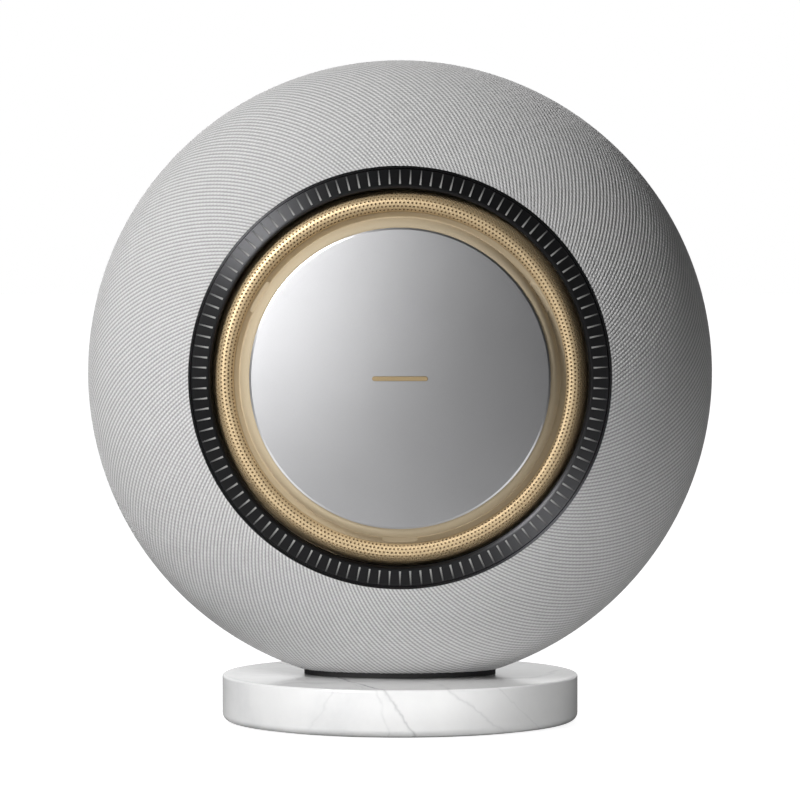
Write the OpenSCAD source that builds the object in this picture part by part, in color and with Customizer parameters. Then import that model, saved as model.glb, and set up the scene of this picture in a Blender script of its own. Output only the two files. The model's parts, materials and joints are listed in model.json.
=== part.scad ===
/* [Body] */
// Radius of the round body at its widest
body_r = 164; // [150:1:200]
// Depth of the front dome, from the split plane to its ideal apex
front_depth = 102; // [92:1:124]
// Depth of the rear dome, from the split plane to its ideal apex
rear_depth = 111; // [98:1:134]
// How much of the rear dome's apex is cut off by the flat rear panel
rear_cap = 14; // [11:0.5:18]
// Half the width of the flat underside that stands on the neck
foot_half_w = 52; // [44:1:60]
// Thickness of the knitted cover
fabric_t = 1.2; // [0.8:0.1:2]
// Wall of the moulded shells under the cover
shell_t = 3; // [2:0.5:4]

/* [Base] */
// Radius of the round stone base
base_r = 93.5; // [80:0.5:115]
// Height of the stone base
base_h = 25; // [20:1:32]
// Radius of the top edge round
base_top_round = 1.2; // [0.5:0.1:3]
// Radius of the bottom edge round
base_bottom_round = 4; // [1:0.5:6]
// Height of the dark neck between base and body
neck_h = 2.8; // [2:0.2:6]
// Thickness of the rubber foot pad
pad_t = 1.5; // [1:0.1:3]
// Radius of the base bolts' shanks
bolt_r = 2.5; // [2:0.5:3]

/* [Control ring] */
// Outer radius of the ring housing, where the cover ends
ring_r = 108; // [100:1:118]
// Radial width of the black control ring
ring_w = 10; // [8:0.5:12]
// Number of pale ticks round the ring
tick_count = 120; // [60:12:144]
// Width of one tick
tick_w = 1; // [0.6:0.1:1.6]
// Length of one tick
tick_len = 7.2; // [5:0.2:7.6]
// Radial play of the ring on its journal
ring_play = 0.05; // [0.02:0.01:0.09]

/* [Front disc] */
// Radius of the satin front disc
disc_r = 77; // [70:0.5:82]
// Thickness of the front disc at its rim
disc_t = 2; // [1.5:0.1:3]
// Width of the open groove round the disc's skirt
groove_w = 3.1; // [2:0.1:5]
// Number of spokes that carry the disc
spoke_count = 3; // [3:1:4]
// Width of one spoke
spoke_w = 17.6; // [8:0.2:22]

/* [Drivers] */
// Outer radius of the woofer's frame
woofer_r = 84; // [75:1:90]
// Travel of the woofer cone each way
woofer_travel = 5; // [2:0.5:6]
// Outer radius of a midrange frame
mid_r = 27; // [25:0.5:28]
// Outer radius of a tweeter frame
tweeter_r = 20; // [17:0.5:22]
// Depth of the driver seats below the dome
seat_d = 12; // [11:0.5:14]

/* [Rear] */
// Half the width of the connector bay
bay_half_w = 46; // [44:1:47]
// Lower edge of the connector bay, below the body's centre
bay_low = 46; // [42:1:47]
// Upper edge of the connector bay, below the body's centre
bay_high = 16; // [10:1:20]
// Depth of the connector bay
bay_depth = 15; // [12:1:17]
// Radius of a push button
button_r = 4; // [3:0.5:5]
// Travel of a push button
button_travel = 1.2; // [0.6:0.1:1.5]
// Travel of the mute switch
mute_travel = 3; // [2:0.5:4]

/* [Fits] */
// Gap between neighbouring parts that do not move
gap = 0.3; // [0.2:0.05:0.5]
// Clearance round a screw or bolt shank
screw_gap = 0.1; // [0.05:0.05:0.3]

/* [Hidden] */
$fn = 96;

// Height of the body's centre above the floor
cut_drop = sqrt(body_r * body_r - foot_half_w * foot_half_w);
axis_z = base_h + neck_h + cut_drop;

// Dome profile: steps along one quarter of the ellipse
dome_steps = 20;
shell_off = fabric_t + gap;
inner_off = shell_off + shell_t;
floor_off = cut_drop - gap;
floor_t = 5;
floor_top = floor_off - floor_t;

// Split plane, flanges and baffle
seam_t = 1;
flange_t = 3;
flange_w = 14;
flange_r = body_r - inner_off + 1;
flange_in = flange_r - flange_w;
flange_cut = floor_top - 15;
flange_z = seam_t / 2 + flange_t;
shell_screw_r = flange_in + 9;
shell_screw_n = 8;
m3_r = 1.5;
first_screw = 22.5;
baffle_t = 4;
baffle_r = flange_in + 5;
baffle_top = flange_z + baffle_t;

// Rear opening
rear_z = rear_depth - rear_cap;
rear_edge_r = body_r * sqrt(1 - pow(rear_z / rear_depth, 2));
rear_hole_r = rear_edge_r - 1.3;
rear_panel_r = rear_hole_r - gap;
panel_t = 3;
seat_t = 3;
seat_w_rear = 9.4;
seat_in = rear_hole_r - seat_w_rear;
panel_screw_r = rear_hole_r - 5;
panel_screw_n = 6;

// Front opening and ring, measured from the dome's edge at the ring
face_z = dome_z(ring_r, body_r, front_depth);
rim_t = 0.9;
ring_out = ring_r - rim_t - gap;
ring_in = ring_out - ring_w;
ring_low = face_z - 6.8;
ring_rise = 1.2;
ring_edge = 0.4;
lip_w = 1.6;
run_gap = 0.1;
journal_out = ring_in + 3.9;
journal_t = 2.8;
sleeve_in = journal_out + ring_play;
sleeve_t = 2;
plate_low = face_z - 20.8;
plate_t = 3;
plate_top = plate_low + plate_t;
bearing_t = 1;
journal_top = ring_low - bearing_t - run_gap;
shoulder_low = plate_top + 4;
shoulder_t = 2;
sleeve_low = plate_top + 1.6;
clip_t = 1.4;
clip_depth = 0.8;
clip_reach = 2.2;
clip_play = 0.15;
clip_mouth = 6;
board_t = 1.2;
tick_out = ring_out - 0.7;
tick_depth = 1.2;
tick_slope = atan(ring_rise / (ring_w - lip_w - ring_edge));

// Gold trim between the ring and the disc
skirt_r = disc_r + 4.6;
wall_in = skirt_r + groove_w;
wall_t = 1.5;
flange_front = plate_low + 2.5;
flange_out = ring_in + 0.6;
mesh_t = 0.8;
mesh_in = wall_in + 0.1;
mesh_out = ring_in - 0.8;
mesh_peak = face_z + 1;
mesh_steps = 14;
mesh_crest = 0.35;
mesh_rise = 1.6;
mesh_fall = 12;
skirt_top = face_z + 7.4;
skirt_low = face_z - 7;
skirt_bend = face_z + 1;
dish_top = skirt_top - 3;
dish_t = 2;
spoke_top = face_z - 1.9;
groove_top = face_z - 2.6;
groove_t = 1.6;
spoke_low = plate_low + 5;
disc_low = skirt_top;
disc_dome = 2;
disc_chamfer = 0.5;
disc_steps = 8;
tape_w = 14;
mic_n = 4;
bar_w = 26;
bar_h = 2.4;
bar_t = 0.7;
m25_r = 1.25;
through = 10;
ledge_w = 7.4;
ledge_t = 3;
skirt_t = 2.6;
skirt_round = 3.4;
rib_n = 18;
carrier_screw_n = 6;
carrier_screw_r = (wall_in + flange_out) / 2 + 1.4;

// Woofer, measured back from the baffle's front face
wf_z = baffle_top;
roll_r = 5.5;
surround_out = woofer_r - 1;
roll_mid = woofer_r - 12.5;
cone_edge_r = roll_mid - roll_r - 0.3;
surround_t = 0.8;
basket_t = 3;
basket_in = woofer_r - 6.5;
magnet_r = 50;
coil_r = 16;
coil_t = 1;
pole_r = 15;
top_plate_bore = 17.6;
basket_drop = 44;
top_plate_t = 3;
magnet_t = 17;
yoke_t = 5;
basket_taper = 39;
neck_r = woofer_r - basket_taper;
plate_z = wf_z - basket_drop;
woofer_screw_n = 8;
woofer_screw_r = woofer_r - 3;
magnet_in = 22.6;
spider_drop = 14;
spider_steps = 24;
spider_wave = 0.8;
spider_t = 0.8;
cap_r = 22;

// Dome-mounted drivers
driver_r = (ring_r + body_r) / 2 + 4;
driver_z = dome_z(driver_r, body_r, front_depth);
driver_tilt = atan2(driver_r / pow(body_r, 2), driver_z / pow(front_depth, 2));
tweeter_angles = [90, 160, 20];
mid_angles = [208, 332];
pod_wall = 2.5;
seat_w = 6;
frame_t = 3;
mid_can_h = 14;
mid_can_r = mid_r - seat_w - 0.4;
mid_can_t = 1.4;
mid_bore = 8.5;
mid_pole_r = 6.2;
mid_magnet_r = 18;
mid_magnet_h = 10;
mid_yoke_t = 2;
mid_cone_r = mid_r - seat_w - 5;
mid_roll = 2.9;
mid_roll_t = 0.6;
mid_roll_mid = mid_cone_r + mid_roll + gap;
mid_lip = mid_r - 4.5;
tweeter_magnet_h = 13;
tweeter_dome_r = 12.5;
tweeter_dome_t = 0.5;
tweeter_dome_h = 4.2;
tweeter_lift = 0.8;

// Electronics, measured from the flat rear
bay_floor = rear_z - bay_depth;
bay_wall = 2;
board_z = rear_z - 26.1;
pcb_t = 1.6;
standoff_h = 1.8;
chassis_t = 1.5;
chassis_z = board_z - pcb_t - standoff_h;
chassis_r = 88;
post_r = 4;
board_half_w = 56;
board_low = -8;
board_high = 50;
split_x = 4;
upper_post_x = board_half_w + post_r + 2;
lower_post_x = bay_half_w + bay_wall + post_r + 3;
posts = [[upper_post_x, 18], [-upper_post_x, 18], [lower_post_x, -28], [-lower_post_x, -28]];
standoff_r = 2.5;
standoff_x = [-44, -8, 8, 44];
standoff_y = [-45, 0, 44];
sink_x = split_x + 4;
sink_y = board_low + 4;
sink_w = 44;
sink_d = 28;
sink_h = 14;
fin_n = 9;
fin_t = 2;
antenna_w = 4.5;
antenna_half_l = 17;
socket_y = -(bay_low + bay_high) / 2;
socket_front = bay_floor + 6;
inlet_x = -31;
inlet_w = 24;
inlet_h = 14;
inlet_depth = 12;
ethernet_x = -7;
ethernet_w = 16;
ethernet_h = 14;
hdmi_x = 12;
hdmi_w = 16;
hdmi_h = 7;
usb_x = 27;
usb_w = 10;
usb_h = 4.4;
aux_x = 38;
aux_r = 3.5;
aux_bore_r = 1.8;
aux_depth = 14;
button_y = 26;
button_back = 5;
key_lip = 1.2;
button_x = 14;
mute_x = -34;

// Base
bolt_spots = [[22, 13], [-22, 13], [22, -13], [-22, -13]];
bolt_up = 5;
bolt_hex = 2.3;
pad_recess = 0.7;
pad_r = base_r - base_bottom_round - 5;
base_low = pad_t - pad_recess;
pocket_r = 58;
steel_t = 3;
neck_inset = 1.6;
bracket_a = 40;
bracket_b = 22;
bracket_t = 5;
bracket_rib_t = 4;
bracket_rib_h = 13;
boss_r = 6;
bolt_head_h = 3.4;
plate_drop = pad_t - base_low + bolt_head_h + gap;
bolt_head_r = 4.5;

function dome_z(r, a, b) = b * sqrt(1 - pow(r / a, 2));

// Points along a dome's profile, from height z0 to radius r1
function dome_pts(a, b, z0, r1) = [for (i = [0 : dome_steps])
    let (t0 = asin(z0 / b), t1 = acos(r1 / a), t = t0 + (t1 - t0) * i / dome_steps)
    [a * cos(t), b * sin(t)]];

// Points along an arc about c, from angle t0 to t1
function arc_pts(c, r, t0, t1, n) = [for (i = [0 : n])
    let (t = t0 + (t1 - t0) * i / n) c + r * [cos(t), sin(t)]];

function flip(v) = [for (i = [len(v) - 1 : -1 : 0]) v[i]];

function ellipse_pts(a, b, n) = [for (i = [0 : n - 1])
    let (t = 360 * i / n) [a * cos(t), b * sin(t)]];

// The body's own frame: x to the right, y up, z towards the front
module on_axis() {
    translate([0, 0, axis_z]) rotate([90, 0, 0]) children();
}

// The rear half is drawn with z growing backwards
module rearward() {
    on_axis() mirror([0, 0, 1]) children();
}

module box(low, high) {
    translate(low) cube(high - low);
}

module tube(r0, r1, z0, z1) {
    translate([0, 0, z0]) difference() {
        cylinder(r = r1, h = z1 - z0);
        translate([0, 0, -1]) cylinder(r = r0, h = z1 - z0 + 2);
    }
}

module ring_of(n, r, start = 0) {
    for (i = [0 : n - 1]) rotate([0, 0, start + 360 * i / n]) translate([r, 0, 0]) children();
}

// Everything below the flat underside, in the body's frame
module below(drop) {
    translate([-body_r, -drop - body_r, -body_r]) cube([2 * body_r, body_r, 2 * body_r]);
}

module dome_solid(off, depth, r_end) {
    rotate_extrude() polygon(concat([[0, 0]], dome_pts(body_r - off, depth - off, 0, r_end),
        [[0, dome_z(r_end, body_r - off, depth - off)]]));
}

module dome_wall(off_out, off_in, depth, z0, r_end) {
    rotate_extrude() polygon(concat(dome_pts(body_r - off_out, depth - off_out, z0, r_end),
        flip(dome_pts(body_r - off_in, depth - off_in, z0, r_end))));
}

module rear_wall(off_out, off_in, z0) {
    a = body_r - off_out;
    b = rear_depth - off_out;
    cut = rear_z - (off_out > 0 ? gap : 0);
    edge = a * sqrt(1 - pow(cut / b, 2));
    rotate_extrude() polygon(concat(dome_pts(a, b, z0, max(edge, rear_hole_r)),
        [[rear_hole_r, min(cut, dome_z(rear_hole_r, a, b))]],
        flip(dome_pts(body_r - off_in, rear_depth - off_in, z0, rear_hole_r))));
}

module at_driver(angle) {
    rotate([0, 0, angle]) translate([driver_r, 0, driver_z]) rotate([0, driver_tilt, 0])
        translate([0, 0, -seat_d]) children();
}

module screw(r, h, head_r, head_h) {
    translate([0, 0, -h]) cylinder(r = r, h = h);
    cylinder(r = head_r, h = head_h);
}

// Base ---------------------------------------------------------------

module marble_base() {
    q = base_bottom_round;
    p = base_top_round;
    color([0.93, 0.93, 0.92]) difference() {
        rotate_extrude() polygon(concat([[0, base_low]],
            arc_pts([base_r - q, base_low + q], q, -90, 0, 8),
            arc_pts([base_r - p, base_h - p], p, 0, 90, 5), [[0, base_h]]));
        cylinder(r = pad_r + gap, h = pad_t);
        cylinder(r = pocket_r + gap, h = base_low + plate_drop + steel_t);
        for (s = bolt_spots) translate([s[0], s[1], 0]) cylinder(r = bolt_r + screw_gap, h = base_h + 1);
    }
}

module base_foot_pad() {
    color([0.08, 0.08, 0.08]) cylinder(r = pad_r, h = pad_t);
}

module base_steel_plate() {
    color([0.6, 0.6, 0.62]) difference() {
        translate([0, 0, base_low + plate_drop]) cylinder(r = pocket_r, h = steel_t);
        for (s = bolt_spots) translate([s[0], s[1], 0]) cylinder(r = bolt_r + screw_gap, h = base_h);
    }
}

module base_bolts() {
    top = base_h + neck_h + gap + floor_t + bolt_up;
    low = base_low + plate_drop;
    color([0.3, 0.3, 0.32]) for (s = bolt_spots) translate([s[0], s[1], low]) union() {
        cylinder(r = bolt_r, h = top - low);
        difference() {
            translate([0, 0, -bolt_head_h]) cylinder(r = bolt_head_r, h = bolt_head_h);
            translate([0, 0, -bolt_head_h - 1]) cylinder(r = bolt_hex, h = 3, $fn = 6);
        }
    }
}

// The neck's outline follows the flat underside, a little inside it
module neck_outline(inset) {
    polygon(ellipse_pts(foot_half_w - inset, foot_half_w * front_depth / body_r - inset, 64));
}

module neck_gasket() {
    color([0.06, 0.06, 0.06]) difference() {
        translate([0, 0, base_h]) linear_extrude(neck_h) neck_outline(neck_inset);
        for (s = bolt_spots) translate([s[0], s[1], 0]) cylinder(r = bolt_r + screw_gap, h = axis_z);
    }
}

module stand_bracket() {
    low = axis_z - floor_top;
    color([0.55, 0.56, 0.58]) difference() {
        union() {
            translate([0, 0, low]) linear_extrude(bracket_t) polygon(ellipse_pts(bracket_a, bracket_b, 48));
            for (s = [-1, 1]) translate([s * (bracket_a - 10) - bracket_rib_t / 2, -14, low])
                cube([bracket_rib_t, 28, bracket_rib_h]);
            for (s = bolt_spots) translate([s[0], s[1], low]) cylinder(r = boss_r, h = 2 * bracket_t);
        }
        for (s = bolt_spots) translate([s[0], s[1], 0]) cylinder(r = bolt_r + screw_gap, h = axis_z);
    }
}

// Body ---------------------------------------------------------------

module fabric_cover() {
    color([0.78, 0.78, 0.77]) difference() {
        union() {
            on_axis() dome_wall(0, fabric_t, front_depth, 0, ring_r + gap);
            rearward() rear_wall(0, fabric_t, 0);
        }
        on_axis() below(cut_drop);
    }
}

// Flat floor that closes one shell half, cut from the dome's inside
module shell_floor(depth) {
    intersection() {
        dome_solid(shell_off + 0.5, depth, 1);
        box([-body_r, -floor_off, seam_t / 2], [body_r, -floor_top, body_r]);
    }
}

module floor_holes() {
    for (s = bolt_spots) translate([s[0], 0, -s[1]]) rotate([90, 0, 0])
        cylinder(r = bolt_r + screw_gap, h = 2 * body_r);
}

module split_flange() {
    difference() {
        tube(flange_in, flange_r, seam_t / 2, flange_z);
        below(flange_cut);
    }
}

module flange_holes() {
    ring_of(shell_screw_n, shell_screw_r, first_screw) translate([0, 0, -through])
        cylinder(r = m3_r + screw_gap, h = 3 * through);
}

module pod(r) {
    difference() {
        translate([0, 0, -2]) cylinder(r = r + pod_wall, h = seat_d + 6);
        cylinder(r = r + gap, h = seat_d + 20);
        translate([0, 0, -3]) cylinder(r = r - seat_w, h = seat_d);
    }
}

module front_shell() {
    color([0.16, 0.16, 0.17]) on_axis() difference() {
        union() {
            difference() {
                dome_wall(shell_off, inner_off, front_depth, seam_t / 2, ring_r + gap);
                for (a = mid_angles) at_driver(a) cylinder(r = mid_r + gap + 0.5, h = 60);
                for (a = tweeter_angles) at_driver(a) cylinder(r = tweeter_r + gap + 0.5, h = 60);
            }
            intersection() {
                dome_solid(shell_off + 0.2, front_depth, 1);
                union() {
                    for (a = mid_angles) at_driver(a) pod(mid_r);
                    for (a = tweeter_angles) at_driver(a) pod(tweeter_r);
                }
            }
            split_flange();
            shell_floor(front_depth);
        }
        below(floor_off);
        flange_holes();
        floor_holes();
        translate([0, 0, plate_low - 6]) cylinder(r = ring_r + gap, h = front_depth);
    }
}

// The connector bay grown by a wall, from a height to past the rear face
module bay_box(wall, low) {
    box([-bay_half_w - wall, -bay_low - wall, low], [bay_half_w + wall, -bay_high + wall, rear_z + 1]);
}

module chassis_posts(r) {
    for (p = posts) translate([p[0], p[1], chassis_z]) cylinder(r = r, h = rear_z - panel_t - chassis_z);
}

module rear_shell() {
    color([0.16, 0.16, 0.17]) rearward() difference() {
        union() {
            rear_wall(shell_off, inner_off, seam_t / 2);
            split_flange();
            shell_floor(rear_depth);
            difference() {
                tube(seat_in, rear_hole_r + 4, rear_z - panel_t - seat_t, rear_z - panel_t);
                bay_box(bay_wall + gap, bay_floor - bay_wall - gap);
                chassis_posts(post_r + gap);
            }
        }
        below(floor_off);
        flange_holes();
        mirror([0, 0, 1]) floor_holes();
        ring_of(panel_screw_n, panel_screw_r) translate([0, 0, rear_z - 12])
            cylinder(r = m3_r + screw_gap, h = 20);
    }
}

module shell_gasket() {
    color([0.2, 0.2, 0.2]) on_axis() difference() {
        tube(flange_in, flange_r, -seam_t / 2, seam_t / 2);
        below(flange_cut);
        flange_holes();
    }
}

module shell_screws() {
    color([0.5, 0.5, 0.52]) rearward() ring_of(shell_screw_n, shell_screw_r, first_screw)
        translate([0, 0, flange_z]) screw(m3_r, 2 * flange_z - 0.2, 2.8, 2);
}

module inner_baffle() {
    color([0.12, 0.12, 0.13]) on_axis() difference() {
        tube(basket_in - 1, baffle_r, flange_z, baffle_top);
        below(flange_cut);
        ring_of(woofer_screw_n, woofer_screw_r, first_screw) cylinder(r = m3_r + screw_gap, h = 40);
        difference() {
            flange_holes();
            cylinder(r = flange_in, h = 60);
        }
    }
}

// Control ring ------------------------------------------------------

module ring_housing() {
    color([0.05, 0.05, 0.05]) on_axis() difference() {
        union() {
            tube(ring_r - rim_t, ring_r, plate_low, face_z);
            tube(journal_out - journal_t, ring_r, plate_low, plate_top);
            tube(journal_out - journal_t, journal_out, plate_low, journal_top);
            tube(sleeve_in + sleeve_t + gap, ring_r, shoulder_low, shoulder_low + shoulder_t);
            tube(flange_out - ledge_w, journal_out, plate_low - ledge_t, plate_low);
        }
        ring_of(carrier_screw_n, carrier_screw_r, 30) translate([0, 0, plate_low - through])
            cylinder(r = m25_r + screw_gap, h = 2 * through);
    }
}

module control_ring() {
    top = face_z + ring_rise;
    color([0.03, 0.03, 0.03]) on_axis() difference() {
        rotate_extrude() polygon(concat(
            [[sleeve_in, sleeve_low], [sleeve_in + sleeve_t, sleeve_low],
             [sleeve_in + sleeve_t, ring_low], [ring_out, ring_low], [ring_out, face_z - ring_edge],
             [ring_out - ring_edge, face_z], [ring_in + lip_w, top]],
            arc_pts([ring_in + lip_w, top - lip_w], lip_w, 90, 180, 6),
            [[ring_in, ring_low], [sleeve_in, ring_low]]));
        ring_of(tick_count, tick_out - tick_len / 2) tick_shape(tick_w, tick_len, 3);
        tube(sleeve_in + sleeve_t - clip_depth, sleeve_in + sleeve_t + clip_reach + gap,
            shoulder_low - clip_t - 2 * run_gap, shoulder_low - run_gap);
    }
}

// One tick, laid along the ring's sloped face
module tick_shape(w, l, h) {
    z = face_z + (ring_out - ring_edge - tick_out + tick_len / 2) * tan(tick_slope);
    translate([0, 0, z]) rotate([0, tick_slope, 0])
        translate([-l / 2, -w / 2, -tick_depth]) cube([l, w, h]);
}

module ring_ticks() {
    color([0.72, 0.72, 0.70]) on_axis() ring_of(tick_count, tick_out - tick_len / 2)
        tick_shape(tick_w, tick_len, tick_depth);
}

module ring_bearing() {
    color([0.85, 0.85, 0.8]) on_axis()
        tube(journal_out - journal_t, journal_out, journal_top, journal_top + bearing_t);
}

module ring_circlip() {
    color([0.5, 0.5, 0.52]) on_axis() difference() {
        tube(sleeve_in + sleeve_t - clip_depth + run_gap, sleeve_in + sleeve_t + clip_reach,
            shoulder_low - clip_t - clip_play, shoulder_low - clip_play);
        translate([0, -clip_mouth / 2, 0]) cube([ring_r, clip_mouth, face_z]);
    }
}

module ring_encoder_board() {
    color([0.05, 0.3, 0.15]) on_axis() tube(journal_out + gap, ring_r - rim_t - gap,
        plate_top, plate_top + board_t);
}

// Gold trim and disc --------------------------------------------------

// Height of the mesh bead's outer face at a share u of its width
function mesh_h(u) = mesh_peak - mesh_rise * pow((mesh_crest - min(u, mesh_crest)) / mesh_crest, 2)
    - mesh_fall * pow((max(u, mesh_crest) - mesh_crest) / (1 - mesh_crest), 3);

module mesh_grille() {
    pts = [for (i = [0 : mesh_steps]) let (u = i / mesh_steps)
        [mesh_in + (mesh_out - mesh_in) * u, mesh_h(u)]];
    color([0.80, 0.68, 0.47]) on_axis()
        rotate_extrude() polygon(concat(pts, flip([for (p = pts) [p[0], p[1] - mesh_t]])));
}

module disc_carrier() {
    color([0.72, 0.60, 0.40]) on_axis() difference() {
        union() {
            rotate_extrude() polygon(concat([[0, dish_top - dish_t], [skirt_r - skirt_t, dish_top - dish_t],
                [skirt_r - skirt_t, skirt_low], [skirt_r, skirt_low]],
                [for (i = [0 : 6]) let (t = 15 * i)
                    [skirt_r - skirt_round * (1 - cos(t)), skirt_bend + (skirt_top - skirt_bend) * sin(t)]],
                [[disc_r, skirt_top], [disc_r, dish_top], [0, dish_top]]));
            tube(wall_in, wall_in + wall_t, plate_low, spoke_top);
            tube(skirt_r - skirt_t / 2, wall_in + wall_t / 2, groove_top - groove_t, groove_top);
            tube(wall_in, flange_out, plate_low, flange_front);
            ring_of(spoke_count, 0, 30) box([skirt_r - 2 * skirt_t, -spoke_w / 2, spoke_low],
                [wall_in + wall_t / 2, spoke_w / 2, spoke_top]);
        }
        ring_of(carrier_screw_n, carrier_screw_r, 30) cylinder(r = m25_r + screw_gap, h = face_z);
        ring_of(rib_n, carrier_screw_r, 360 / rib_n) cylinder(r = 2.4, h = face_z - 12);
    }
}

module carrier_screws() {
    color([0.5, 0.5, 0.52]) on_axis() ring_of(carrier_screw_n, carrier_screw_r, 30)
        translate([0, 0, flange_front]) screw(m25_r, 5, 2.2, 1.5);
}

module touch_and_mic_board() {
    color([0.05, 0.3, 0.15]) on_axis() union() {
        translate([0, 0, dish_top]) cylinder(r = disc_r - tape_w - 2, h = board_t);
        ring_of(mic_n, disc_r - tape_w - 8) translate([-2, -1.5, dish_top]) cube([4, 3, board_t + 1]);
    }
}

module disc_foam_tape() {
    color([0.1, 0.1, 0.1]) on_axis() tube(disc_r - tape_w, disc_r - 2, dish_top, disc_low);
}

module front_disc() {
    r = disc_r - gap;
    top = disc_low + disc_t;
    color([0.75, 0.75, 0.76]) on_axis() rotate_extrude() polygon(concat(
        [[0, disc_low], [r, disc_low], [r, top - disc_chamfer]],
        [for (i = [0 : disc_steps]) let (u = (r - disc_chamfer) * (1 - i / disc_steps))
            [u, top + disc_dome * (1 - pow(u / (r - disc_chamfer), 2))]]));
}

module emblem_bar() {
    z = disc_low + disc_t + disc_dome;
    color([0.55, 0.45, 0.30]) on_axis() translate([0, 0, z]) linear_extrude(bar_t) union() {
        square([bar_w, bar_h], center = true);
        for (s = [-1, 1]) translate([s * bar_w / 2, 0]) circle(r = bar_h / 2, $fn = 24);
    }
}

// Woofer ---------------------------------------------------------------

module woofer_basket() {
    color([0.1, 0.1, 0.1]) on_axis() difference() {
        rotate_extrude() polygon([[basket_in - 2.2, wf_z], [woofer_r, wf_z], [woofer_r, wf_z + basket_t],
            [basket_in, wf_z + basket_t], [neck_r + 4, plate_z + 16], [neck_r + 4, plate_z + 14],
            [neck_r - 6, plate_z + 14], [neck_r - 6, plate_z + 11], [neck_r, plate_z + 11],
            [neck_r - 3, plate_z + 3], [top_plate_bore + 3, plate_z + 3], [top_plate_bore + 3, plate_z],
            [neck_r, plate_z], [neck_r + 5, plate_z + 10]]);
        ring_of(6, 0, 0) box([neck_r + 2, -12, plate_z + 17], [basket_in + 8, 12, wf_z - 4]);
        ring_of(woofer_screw_n, woofer_screw_r, first_screw) cylinder(r = m3_r + screw_gap, h = 40);
    }
}

module woofer_top_plate() {
    color([0.55, 0.55, 0.56]) on_axis() tube(top_plate_bore, magnet_r - 4, plate_z - top_plate_t, plate_z);
}

module woofer_magnet() {
    low = plate_z - top_plate_t - magnet_t;
    color([0.22, 0.22, 0.23]) on_axis() tube(magnet_in, magnet_r, low, low + magnet_t);
}

module woofer_pole_yoke() {
    low = plate_z - top_plate_t - magnet_t - yoke_t;
    color([0.55, 0.55, 0.56]) on_axis() union() {
        translate([0, 0, low]) cylinder(r = magnet_r, h = yoke_t);
        translate([0, 0, low]) cylinder(r = pole_r, h = plate_z - low);
    }
}

module woofer_cone() {
    low = plate_z + 12 + woofer_travel * 2;
    high = wf_z + 2;
    color([0.07, 0.07, 0.07]) on_axis() rotate_extrude() polygon(concat(
        [[coil_r - 0.4, plate_z - 9], [coil_r + coil_t - 0.4, plate_z - 9], [coil_r + coil_t - 0.4, low],
         [cone_edge_r, high], [cone_edge_r, high + 1]],
        [for (i = [0 : 5]) [cap_r * cos(18 * i), low + 5 + 6 * sin(18 * i)]],
        [[0, low + 9.8], [12, low + 8.4], [20, low + 4.4], [coil_r - 0.4, low + 1.6]]));
}

module woofer_surround() {
    z = wf_z + basket_t;
    color([0.04, 0.04, 0.04]) on_axis() difference() {
        rotate_extrude() polygon(concat(
            [[surround_out, z], [surround_out, z + surround_t]],
            arc_pts([roll_mid, z + surround_t], roll_r, 0, 180, 12),
            flip(arc_pts([roll_mid, z], roll_r - surround_t, 0, 180, 12))));
        ring_of(woofer_screw_n, woofer_screw_r, first_screw) cylinder(r = m3_r + screw_gap, h = 40);
    }
}

// Height of the spider's waves at a share i of its steps
function spider_h(i) = spider_wave * pow(sin(i * 90), 2);

module woofer_spider() {
    z = plate_z + spider_drop;
    inner = coil_r + coil_t - 0.1;
    outer = neck_r + 2.9;
    last = spider_steps - 6;
    color([0.75, 0.6, 0.3]) on_axis() rotate_extrude() polygon(concat(
        [for (i = [0 : spider_steps]) [inner + (outer - inner) * i / spider_steps,
            z + spider_t + (i < spider_steps - 4 ? spider_h(i) : 0)]],
        [[outer, z], [neck_r - 4, z]],
        flip([for (i = [0 : last]) [inner + (outer - inner) * i / spider_steps, z + spider_h(i)]])));
}

module woofer_screws() {
    color([0.3, 0.3, 0.3]) on_axis() ring_of(woofer_screw_n, woofer_screw_r, first_screw)
        translate([0, 0, wf_z + basket_t + surround_t]) screw(m3_r, 9, 2.7, 1.8);
}

// Midranges and tweeters -----------------------------------------------

module midrange_frames() {
    inner = mid_can_r - mid_can_t;
    color([0.1, 0.1, 0.1]) on_axis() for (a = mid_angles) at_driver(a) union() {
        tube(inner, mid_r, 0, frame_t);
        tube(inner, mid_can_r, -mid_can_h, 0.5);
        tube(mid_bore, mid_can_r, -mid_can_h, -mid_can_h + 1.5);
    }
}

module midrange_magnets() {
    color([0.25, 0.25, 0.26]) on_axis() for (a = mid_angles) at_driver(a) union() {
        tube(mid_bore, mid_magnet_r, -mid_can_h - mid_magnet_h, -mid_can_h);
        translate([0, 0, -mid_can_h - mid_magnet_h]) cylinder(r = mid_pole_r, h = mid_magnet_h);
        translate([0, 0, -mid_can_h - mid_magnet_h - mid_yoke_t]) cylinder(r = mid_magnet_r, h = mid_yoke_t);
    }
}

module midrange_surrounds() {
    color([0.04, 0.04, 0.04]) on_axis() for (a = mid_angles) at_driver(a) rotate_extrude()
        polygon(concat([[mid_r - 1, frame_t], [mid_r - 1, frame_t + mid_roll_t],
                [mid_lip, frame_t + mid_roll_t]],
            arc_pts([mid_roll_mid, frame_t + mid_roll_t], mid_roll, 0, 180, 8),
            flip(arc_pts([mid_roll_mid, frame_t], mid_roll - mid_roll_t, 0, 180, 8)), [[mid_lip, frame_t]]));
}

module midrange_cone(a) {
    color([0.62, 0.62, 0.63]) on_axis() at_driver(a) rotate_extrude()
        polygon([[6.8, -mid_can_h - 5], [7.6, -mid_can_h - 5], [7.6, -7.5], [mid_cone_r, 1.5],
            [mid_cone_r, 2.3], [9, -5.4], [7, -3.6], [4, -2.6], [0, -2.2], [0, -2.9],
            [4, -3.4], [6.4, -4.6], [6.8, -6]]);
}

module midrange_cone_left() {
    midrange_cone(mid_angles[0]);
}

module midrange_cone_right() {
    midrange_cone(mid_angles[1]);
}

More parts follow.
